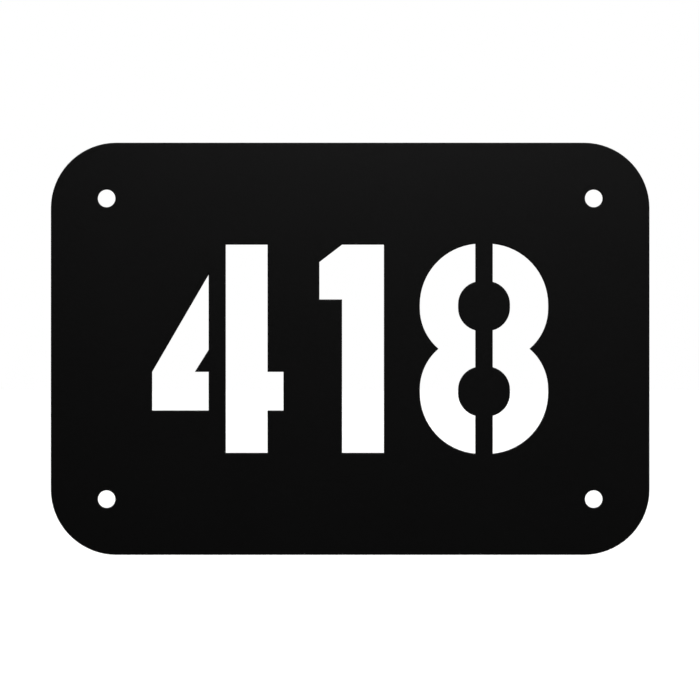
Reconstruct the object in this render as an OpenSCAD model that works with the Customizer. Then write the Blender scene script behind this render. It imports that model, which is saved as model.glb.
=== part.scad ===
// A house number plaque: one flat sheet of steel with the number 418 cut through it as a
// stencil, and a screw hole near each corner. Sizes are in millimetres.
// The plaque hangs upright on its wall. X runs to the right as it is read, Z runs up, and the
// front faces -Y. The origin is in the middle of the back face, between the four screw holes.

/* [Plate] */
// Width of the plate
plate_w = 203.2; // [180:0.1:300]
// Height of the plate
plate_h = 139.9; // [125:0.1:220]
// Thickness of the coated sheet
plate_t = 2; // [1:0.1:5]
// Radius of the plate's corners
corner_r = 22.2; // [8:0.1:35]
// Width of the 45 degree break along every edge
edge_break = 0.3; // [0.1:0.05:0.45]

/* [Screw holes] */
// Diameter of a screw hole
hole_d = 6; // [3:0.1:8]
// Distance of a hole's centre from the two nearest edges of the plate
hole_inset = 18.9; // [12:0.1:22]

/* [Numerals] */
// Height of the 4 and the 1
numeral_h = 70.7; // [62:0.1:78]
// Clear width between two numerals
numeral_gap = 12.2; // [6:0.1:15]
// Width of the upright strokes of the 4 and the 1
stem_w = 14.2; // [10:0.1:17]

/* [Four] */
// Width of the 4 to the left of its bridge
four_arm_w = 19.2; // [17:0.1:23]
// Width of the bridge of metal that carries the island inside the 4
four_bridge_w = 5.8; // [3:0.1:8]
// How far the crossbar runs past the upright stroke
four_tip_w = 5.4; // [3:0.1:8]
// Thickness of the 4's crossbar
crossbar_h = 13.1; // [10:0.1:15]
// Height of the crossbar's underside above the foot of the 4
crossbar_rise = 14.4; // [9:0.1:18]
// How far the 4's slope would run past the upright stroke's left side, at the very top
slope_lead = 0.1; // [-1:0.1:2]
// Width of the 4's triangular island, measured to the upright stroke
island_w = 10.5; // [8:0.1:13]
// Height of the 4's triangular island
island_h = 16.8; // [13:0.1:19]

/* [One] */
// How far the flag of the 1 stands out to the left of the upright stroke
flag_w = 7.7; // [5:0.1:12]
// Depth of the flag below the top of the 1
flag_h = 18.6; // [15:0.1:28]
// How far the flag's sloping top falls
flag_fall = 5.9; // [3:0.1:9]

/* [Eight] */
// Width of the 8
eight_w = 43.6; // [41.6:0.1:48]
// How far the curves of the 8 overshoot the flat numerals at the top and at the foot
overshoot = 0.35; // [0:0.05:1]
// Width of the bridge of metal that runs down the middle of the 8
eight_bridge_w = 5.9; // [3:0.1:8]
// Radius of the curve over the crown of each bowl
crown_r = 20.7; // [19:0.05:20.8]
// Length of the straight run at the side of each bowl, under the crown
cheek_run = 1.3; // [0.1:0.1:2]
// Radius of the curve from that straight run in to the waist
cheek_r = 17.95; // [17:0.05:19.5]
// Thickness of the 8's strokes at its sides
eight_side_w = 13; // [11:0.1:15]
// Thickness of the 8's strokes at its top and at its foot
eight_top_h = 12.7; // [10:0.1:15]
// Thickness of the 8's stroke across its waist
eight_waist_h = 12; // [10:0.1:15]
// Roundness of the islands inside the 8, from square to a full curve
island_roundness = 0.92; // [0.5:0.01:0.98]

/* [Hidden] */
$fn = 96;

// How far a cutting shape runs past the faces of the sheet
overrun = 0.5;
// Length of the blocks that have to reach past anything on the plate
reach = plate_w + plate_h;
coat_colour = [0.075, 0.075, 0.078];

// The sheet is drawn lying flat, with Y up the plate and Z from its back to its front.
half_w = plate_w / 2;
half_h = plate_h / 2;
numeral_top = numeral_h / 2;
numeral_foot = -numeral_top;

four_w = four_arm_w + four_bridge_w + stem_w + four_tip_w;
one_w = flag_w + stem_w;
number_w = four_w + numeral_gap + one_w + numeral_gap + eight_w;
four_x = -number_w / 2;
one_x = four_x + four_w + numeral_gap;
eight_x = one_x + one_w + numeral_gap + eight_w / 2;

// An edge profile is a list of [height in the sheet, distance outside the outline].
past_face = edge_break + overrun;
body_edge = [[0, -edge_break], [edge_break, 0], [plate_t - edge_break, 0], [plate_t, -edge_break]];
cut_edge = [
    [-overrun, past_face], [edge_break, 0],
    [plate_t - edge_break, 0], [plate_t + overrun, past_face]
];
kept_edge = [for (level = cut_edge) [level[0], -level[1]]];

function rectangle(left, foot, right, top) = [[left, foot], [right, foot], [right, top], [left, top]];

// A solid with a straight-sided, convex, anticlockwise outline, whose walls follow an edge profile.
// The profile is swept along each side of the outline in turn, and the solid is what they share.
module straight_sided(outline, edge) {
    wall = [for (level = edge) [level[1], level[0]]];
    middle = [[-reach, edge[len(edge) - 1][0]], [-reach, edge[0][0]]];
    intersection_for (i = [0 : len(outline) - 1]) {
        start = outline[i];
        side = outline[(i + 1) % len(outline)] - start;
        translate([start.x, start.y, 0])
            rotate([90, 0, atan2(side.y, side.x) - 90])
                linear_extrude(2 * reach, center = true) polygon(concat(wall, middle));
    }
}

// A round solid whose wall follows an edge profile
module round_sided(radius, edge) {
    wall = [for (level = edge) [radius + level[1], level[0]]];
    axis = [[0, edge[len(edge) - 1][0]], [0, edge[0][0]]];
    rotate_extrude() polygon(concat(wall, axis));
}

// A rectangle with round corners, about its centre, whose walls follow an edge profile
module round_cornered(width, height, radius, edge) {
    foot = edge[0][0];
    depth = edge[len(edge) - 1][0] - foot;
    straight_w = width - 2 * radius;
    straight_h = height - 2 * radius;
    intersection() {
        straight_sided(rectangle(-width / 2, -height / 2, width / 2, height / 2), edge);
        union() {
            translate([-straight_w / 2, -height / 2, foot]) cube([straight_w, height, depth]);
            translate([-width / 2, -straight_h / 2, foot]) cube([width, straight_h, depth]);
            for (side = [-1, 1], up = [-1, 1])
                translate([side * straight_w / 2, up * straight_h / 2, 0]) round_sided(radius, edge);
        }
    }
}

// Everything in the sheet between two heights up the plate
module between(foot, top) {
    translate([-reach, foot, -plate_t]) cube([2 * reach, top - foot, 3 * plate_t]);
}

// The four screw holes
module screw_holes() {
    for (side = [-1, 1], up = [-1, 1])
        translate([side * (half_w - hole_inset), up * (half_h - hole_inset), 0])
            round_sided(hole_d / 2, cut_edge);
}

// The 4, from its left side: a sloping sail and an upright with a crossbar, parted by the bridge.
// The sail and the island both end in the middle of the bridge, which covers their right sides.
module four() {
    stem_x = four_arm_w + four_bridge_w;
    bridge_x = four_arm_w + four_bridge_w / 2;
    bar_foot = numeral_foot + crossbar_rise;
    bar_top = bar_foot + crossbar_h;
    sail_slope = (numeral_top - bar_top) / (stem_x + slope_lead);
    island_x = stem_x - island_w;
    island_slope = island_h / island_w;
    sail = [
        [0, bar_foot], [bridge_x, bar_foot],
        [bridge_x, bar_top + sail_slope * bridge_x], [0, bar_top]
    ];
    island = [
        [island_x, bar_top], [bridge_x, bar_top],
        [bridge_x, bar_top + island_slope * (bridge_x - island_x)]
    ];
    difference() {
        straight_sided(sail, cut_edge);
        straight_sided(island, kept_edge);
        straight_sided(rectangle(four_arm_w, numeral_foot, stem_x, numeral_top), kept_edge);
    }
    straight_sided(rectangle(stem_x, numeral_foot, stem_x + stem_w, numeral_top), cut_edge);
    straight_sided(rectangle(stem_x, bar_foot, four_w, bar_top), cut_edge);
}

// The 1, from the left side of its flag: a head with the flag on it, and the upright that runs
// down from inside the head
module one() {
    head = [
        [0, numeral_top - flag_h], [one_w, numeral_top - flag_h],
        [one_w, numeral_top], [flag_w, numeral_top], [0, numeral_top - flag_fall]
    ];
    straight_sided(head, cut_edge);
    straight_sided(rectangle(flag_w, numeral_foot, one_w, numeral_top - flag_fall), cut_edge);
}

// The right-hand side of the 8's upper bowl, about the centre of the 8: the crown, the straight
// run at the side and the cheek that turns in to the waist
module bowl_side() {
    side_x = eight_w / 2;
    crown_y = numeral_top + overshoot - crown_r;
    cheek_y = crown_y - cheek_run;
    translate([side_x - crown_r, crown_y, 0]) round_sided(crown_r, cut_edge);
    translate([side_x - cheek_r, cheek_y, 0]) round_sided(cheek_r, cut_edge);
    intersection() {
        straight_sided(rectangle(0, 0, side_x, half_h), cut_edge);
        between(cheek_y, crown_y);
    }
}

// One half of the 8: both bowls, less their islands, up to the bridge
module eight_half() {
    island_width = eight_w - 2 * eight_side_w;
    island_foot = eight_waist_h / 2;
    island_height = numeral_top + overshoot - eight_top_h - island_foot;
    island_r = island_roundness * min(island_width, island_height) / 2;
    difference() {
        intersection() {
            straight_sided(rectangle(eight_bridge_w / 2, -half_h, eight_w, half_h), cut_edge);
            for (up = [0, 1])
                mirror([0, up, 0]) bowl_side();
        }
        for (up = [-1, 1])
            translate([0, up * (island_foot + island_height / 2), 0])
                round_cornered(island_width, island_height, island_r, kept_edge);
    }
}

// The 8, about its centre
module eight() {
    eight_half();
    mirror([1, 0, 0]) eight_half();
}

// The finished plaque, stood up on its wall
module number_plaque() {
    color(coat_colour)
        rotate([90, 0, 0])
            difference() {
                round_cornered(plate_w, plate_h, corner_r, body_edge);
                screw_holes();
                translate([four_x, 0, 0]) four();
                translate([one_x, 0, 0]) one();
                translate([eight_x, 0, 0]) eight();
            }
}

number_plaque();
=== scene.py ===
import math

import bpy
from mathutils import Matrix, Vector


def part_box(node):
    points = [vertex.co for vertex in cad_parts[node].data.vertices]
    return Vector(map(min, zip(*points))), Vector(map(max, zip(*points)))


MM = 0.001
PLAQUE = "number_plaque"

# The camera. The plaque's middle and its scale are measured in the photograph.
IMAGE_PX = 700
PLAQUE_MIDDLE_PX = (350.17, 348.76)
PX_PER_METRE = 2946.95
LENS_MM = 200
SENSOR_MM = 36
# Raises a camera's gaze from straight down to level
LEVEL_TILT = math.radians(90)

# The powder coat's colour and roughness, and how far each goes up and down from there
COAT_COLOUR = 0.00135
COAT_COLOUR_VARIATION = 0.12 * COAT_COLOUR
COAT_ROUGHNESS = 0.4
COAT_ROUGHNESS_VARIATION = 0.05
# The strength of its sheen, which is a good deal weaker than the 0.5 of a common paint
COAT_SPECULAR_LEVEL = 0.113
# Its clouds of colour, its waves and its grain: the size of their features, the number of finer
# octaves in their noise, and how high they stand
COAT_CLOUD_SIZE = 30 * MM
COAT_CLOUD_DETAIL = 3
COAT_WAVE_SIZE = 1.1 * MM
COAT_WAVE_DETAIL = 1
COAT_WAVE_HEIGHT = 0.02 * MM
COAT_GRAIN_SIZE = 0.3 * MM
COAT_GRAIN_DETAIL = 2
COAT_GRAIN_HEIGHT = 0.005 * MM
# The values between which nearly all of a noise texture lies
NOISE_REACH = (0.3, 0.7)

# The rounding that the coat adds along the sheet's broken edges
COAT_EDGE_ROUNDING = 0.06 * MM
COAT_EDGE_STEPS = 2
SHARP_EDGE_ANGLE = math.radians(30)
# Mesh points that lie nearer than this are one point
SAME_POINT = 0.001 * MM

# The studio. In a light of level 1, a surface looks as bright as its own colour.
WHITE = 1.0
# The level of the even light that comes from the world
AMBIENT_LEVEL = 0.065
FLOOR_DROP = 100 * MM
FLOOR_SIZE = 30
# The floor's colour for the light that bounces off it, and for the camera
FLOOR_COLOUR = 0.08
FLOOR_COLOUR_SEEN = 0.83
# What the camera's view of the floor gains further out, where less light falls on it, and the
# distances from the frame's origin over which it rises to that
FLOOR_LIFT = 0.3
FLOOR_LIFT_REACH = (0.35, 0.6)

# Each softbox: its middle, its side, and the level of its light on the nearer face of the plaque
SOFTBOXES = {
    "key_softbox": {"place": (0.035, -0.4, 0.38), "side": 0.3, "level": 0.78},
    "right_softbox": {"place": (0.7, -0.9, 0.13), "side": 0.58, "level": 0.055},
    "left_softbox": {"place": (-0.7, -0.9, 0.13), "side": 0.58, "level": 0.03},
    "right_rear_softbox": {"place": (0.7, 0.9, 0.13), "side": 0.58, "level": 0.1},
    "left_rear_softbox": {"place": (-0.7, 0.9, 0.13), "side": 0.58, "level": 0.07},
}
# Each sun: the direction that it comes from, and its strength
SUNS = {
    "left_rear_sun": {"from": (-0.7, 0.75, 0.95), "strength": 2.3},
    "right_rear_sun": {"from": (0.8, 0.7, 1.0), "strength": 1.8},
}
# How wide a sun is, seen from the plaque: the wider, the softer its shadows
SUN_WIDTH = math.radians(60)


def grey(level):
    """A grey colour, from 0 for black to 1 for white."""
    return (level, level, level, 1.0)


def add_node(tree, kind, **inputs):
    """Adds a shader node and sets the inputs that are named."""
    node = tree.nodes.new(kind)
    for name, value in inputs.items():
        node.inputs[name].default_value = value
    return node


def add_range(tree, value, low, high, reach=(0, 1)):
    """Spreads a value that runs over its reach from low to high."""
    spread = add_node(tree, "ShaderNodeMapRange")
    spread.inputs["From Min"].default_value = reach[0]
    spread.inputs["From Max"].default_value = reach[1]
    spread.inputs["To Min"].default_value = low
    spread.inputs["To Max"].default_value = high
    tree.links.new(value, spread.inputs["Value"])
    return spread.outputs["Result"]


def add_noise(tree, place, size, detail):
    """Adds a noise texture whose features have the given size."""
    noise = add_node(tree, "ShaderNodeTexNoise", Scale=1 / size, Detail=detail)
    tree.links.new(place, noise.inputs["Vector"])
    return noise.outputs["Fac"]


def add_variation(tree, noise, middle, variation):
    """Lets a value go up and down from its middle with a noise texture."""
    return add_range(tree, noise, middle - variation, middle + variation, NOISE_REACH)


def add_bump(tree, height, depth, below=None):
    """Raises the surface by a height field, over another bump if there is one."""
    bump = add_node(tree, "ShaderNodeBump", Distance=depth)
    tree.links.new(height, bump.inputs["Height"])
    if below is not None:
        tree.links.new(below, bump.inputs["Normal"])
    return bump.outputs["Normal"]


def camera_ray(tree):
    """1 for what the camera sees directly, and 0 for light that falls on something else."""
    return add_node(tree, "ShaderNodeLightPath").outputs["Is Camera Ray"]


def powder_coat():
    """A satin black powder coat, with the slight waviness and the fine grain of baked powder."""
    coat = bpy.data.materials.new("satin_black_coat")
    coat.use_nodes = True
    tree = coat.node_tree
    shader = tree.nodes["Principled BSDF"]
    shader.inputs["Specular IOR Level"].default_value = COAT_SPECULAR_LEVEL
    place = add_node(tree, "ShaderNodeTexCoord").outputs["Object"]

    clouds = add_noise(tree, place, COAT_CLOUD_SIZE, COAT_CLOUD_DETAIL)
    waves = add_noise(tree, place, COAT_WAVE_SIZE, COAT_WAVE_DETAIL)
    grain = add_noise(tree, place, COAT_GRAIN_SIZE, COAT_GRAIN_DETAIL)

    colour = add_variation(tree, clouds, COAT_COLOUR, COAT_COLOUR_VARIATION)
    roughness = add_variation(tree, grain, COAT_ROUGHNESS, COAT_ROUGHNESS_VARIATION)
    wavy = add_bump(tree, waves, COAT_WAVE_HEIGHT)
    grainy = add_bump(tree, grain, COAT_GRAIN_HEIGHT, wavy)

    tree.links.new(colour, shader.inputs["Base Color"])
    tree.links.new(roughness, shader.inputs["Roughness"])
    tree.links.new(grainy, shader.inputs["Normal"])
    return coat


def round_edges(plaque):
    """Rounds the corners of the sheet's broken edges, as the coat does when it flows."""
    weld = plaque.modifiers.new("weld", "WELD")
    weld.merge_threshold = SAME_POINT
    bevel = plaque.modifiers.new("rounded_edges", "BEVEL")
    bevel.width = COAT_EDGE_ROUNDING
    bevel.segments = COAT_EDGE_STEPS
    bevel.limit_method = "ANGLE"
    bevel.angle_limit = SHARP_EDGE_ANGLE
    bevel.use_clamp_overlap = False
    normals = plaque.modifiers.new("flat_faces_stay_flat", "WEIGHTED_NORMAL")
    normals.keep_sharp = True


def finish_plaque(plaque):
    """Coats the plaque, which is the CAD model's own."""
    plaque.material_slots[0].material = powder_coat()
    round_edges(plaque)


def make_world():
    """White where the camera looks past everything, and a little even light on the plaque."""
    world = bpy.data.worlds.new("studio")
    world.use_nodes = True
    bpy.context.scene.world = world
    tree = world.node_tree
    background = tree.nodes["Background"]
    background.inputs["Color"].default_value = grey(WHITE)
    level = add_range(tree, camera_ray(tree), AMBIENT_LEVEL, WHITE)
    tree.links.new(level, background.inputs["Strength"])


def floor_lift(tree):
    """How much of white is added to the camera's view of the floor: none near the plaque."""
    place = add_node(tree, "ShaderNodeTexCoord").outputs["Object"]
    away = add_node(tree, "ShaderNodeVectorMath")
    away.operation = "LENGTH"
    tree.links.new(place, away.inputs["Vector"])
    return add_range(tree, away.outputs["Value"], 0, FLOOR_LIFT, FLOOR_LIFT_REACH)


def floor_material():
    """A matt grey floor that the camera sees as white, apart from the plaque's shadow on it."""
    material = bpy.data.materials.new("studio_floor")
    material.use_nodes = True
    tree = material.node_tree
    tree.nodes.remove(tree.nodes["Principled BSDF"])
    plain = add_node(tree, "ShaderNodeBsdfDiffuse", Color=grey(FLOOR_COLOUR))
    seen = add_node(tree, "ShaderNodeBsdfDiffuse", Color=grey(FLOOR_COLOUR_SEEN))
    lift = add_node(tree, "ShaderNodeEmission", Color=grey(WHITE))
    lifted = add_node(tree, "ShaderNodeAddShader")
    mix = add_node(tree, "ShaderNodeMixShader")
    output = tree.nodes["Material Output"]
    tree.links.new(floor_lift(tree), lift.inputs["Strength"])
    tree.links.new(seen.outputs["BSDF"], lifted.inputs[0])
    tree.links.new(lift.outputs["Emission"], lifted.inputs[1])
    tree.links.new(camera_ray(tree), mix.inputs["Fac"])
    tree.links.new(plain.outputs["BSDF"], mix.inputs[1])
    tree.links.new(lifted.outputs["Shader"], mix.inputs[2])
    tree.links.new(mix.outputs["Shader"], output.inputs["Surface"])
    return material


def make_floor(height):
    """A wide floor under the plaque, which is part of the studio and not of the object."""
    half = FLOOR_SIZE / 2
    sides = [(-half, -half), (half, -half), (half, half), (-half, half)]
    corners = [(x, y, height) for x, y in sides]
    mesh = bpy.data.meshes.new("floor")
    mesh.from_pydata(corners, [], [(0, 1, 2, 3)])
    mesh.materials.append(floor_material())
    floor = bpy.data.objects.new("floor", mesh)
    bpy.context.scene.collection.objects.link(floor)


def add_lamp(name, kind, place, target):
    """Adds a lamp that looks at the target and that the camera doesn't see."""
    lamp = bpy.data.objects.new(name, bpy.data.lights.new(name, kind))
    bpy.context.scene.collection.objects.link(lamp)
    lamp.location = place
    lamp.rotation_euler = (target - place).to_track_quat("-Z", "Y").to_euler()
    lamp.visible_camera = False
    return lamp


def make_softboxes(target):
    """A softbox's power follows from its distance, and from the level of its light on the plaque."""
    for name, box in SOFTBOXES.items():
        place = Vector(box["place"])
        away = place - target
        facing = abs(away.y) / away.length
        lamp = add_lamp(name, "AREA", place, target)
        lamp.data.size = box["side"]
        lamp.data.energy = box["level"] * math.pi ** 2 * away.length_squared / facing


def make_suns(target):
    """The suns light the floor, and the plaque from behind and above."""
    for name, sun in SUNS.items():
        lamp = add_lamp(name, "SUN", target + Vector(sun["from"]), target)
        lamp.data.angle = SUN_WIDTH
        lamp.data.energy = sun["strength"]


def make_camera(front_y):
    """Looks straight at the plaque's front, and frames it as the photograph does."""
    data = bpy.data.cameras.new("camera")
    data.lens = LENS_MM
    data.sensor_width = SENSOR_MM
    camera = bpy.data.objects.new("camera", data)
    bpy.context.scene.collection.objects.link(camera)
    frame_width = IMAGE_PX / PX_PER_METRE
    distance = frame_width * LENS_MM / SENSOR_MM
    right = (IMAGE_PX / 2 - PLAQUE_MIDDLE_PX[0]) / PX_PER_METRE
    down = (IMAGE_PX / 2 - PLAQUE_MIDDLE_PX[1]) / PX_PER_METRE
    camera.location = (right, front_y - distance, -down)
    camera.rotation_euler = (LEVEL_TILT, 0, 0)
    bpy.context.scene.camera = camera


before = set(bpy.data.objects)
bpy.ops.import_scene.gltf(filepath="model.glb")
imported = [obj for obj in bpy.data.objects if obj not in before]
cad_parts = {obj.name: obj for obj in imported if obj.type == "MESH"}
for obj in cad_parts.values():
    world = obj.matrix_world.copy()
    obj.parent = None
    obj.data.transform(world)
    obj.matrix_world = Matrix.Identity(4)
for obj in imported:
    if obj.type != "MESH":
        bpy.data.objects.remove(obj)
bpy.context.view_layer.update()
lowest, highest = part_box(PLAQUE)
middle = (lowest + highest) / 2

make_camera(lowest.y)
make_world()
make_floor(lowest.z - FLOOR_DROP)
make_softboxes(middle)
make_suns(middle)
finish_plaque(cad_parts[PLAQUE])
bpy.context.scene.view_settings.view_transform = "Standard"
